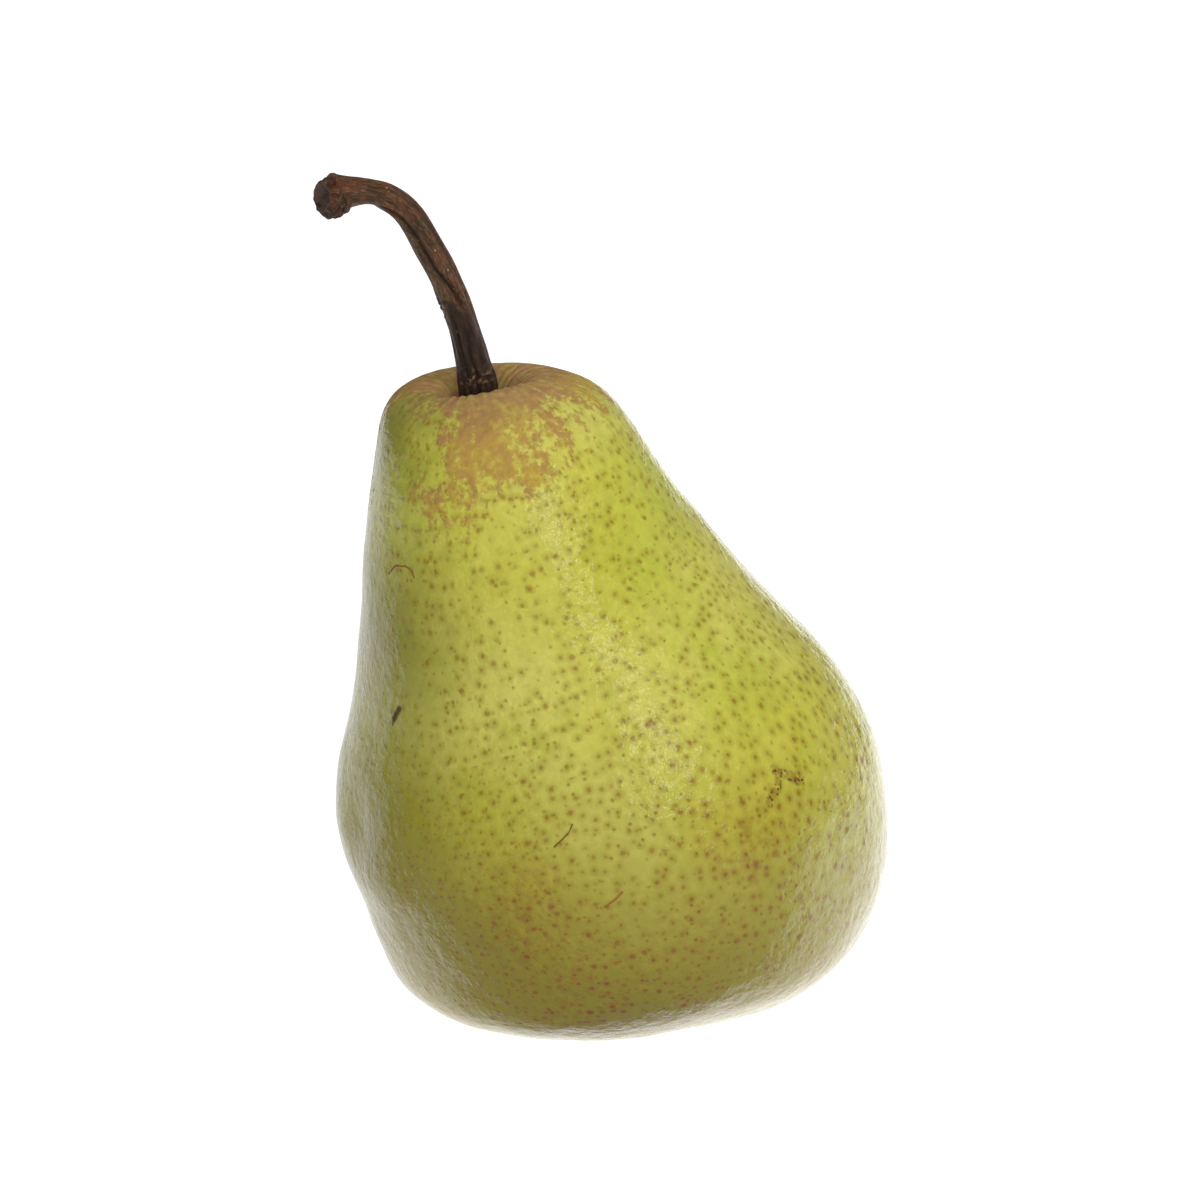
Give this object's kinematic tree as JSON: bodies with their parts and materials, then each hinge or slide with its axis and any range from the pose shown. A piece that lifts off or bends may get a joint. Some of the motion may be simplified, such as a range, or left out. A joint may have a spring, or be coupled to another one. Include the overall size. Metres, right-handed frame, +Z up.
{
  "type": "pear",
  "caption": "Whole fresh pear, standing on its blossom end with its neck leaning and a curved woody stalk; fruit to set out, handle or pack",
  "frame": {"origin": "on the flat spot the fruit rests on, near below its centre of mass", "axes": "+Z up from the resting spot to the stalk; +X away from the way the neck leans, so the neck and the stalk lean to -X; +Y to the back"},
  "size_m": [0.0728, 0.0672, 0.1112],
  "materials": {
    "pear_skin": "waxy fruit skin, yellow green with brown freckles and russet round the stalk",
    "stalk_bark": "rough dry bark",
    "calyx_husk": "dry flower cup",
    "sepal_husk": "dry papery sepal"
  },
  "bodies": {
    "root": {"pear_body": "pear_skin", "stem": "stalk_bark", "calyx": "calyx_husk", "sepal_1": "sepal_husk", "sepal_2": "sepal_husk", "sepal_3": "sepal_husk", "sepal_4": "sepal_husk", "sepal_5": "sepal_husk"}
  },
  "joints": []
}
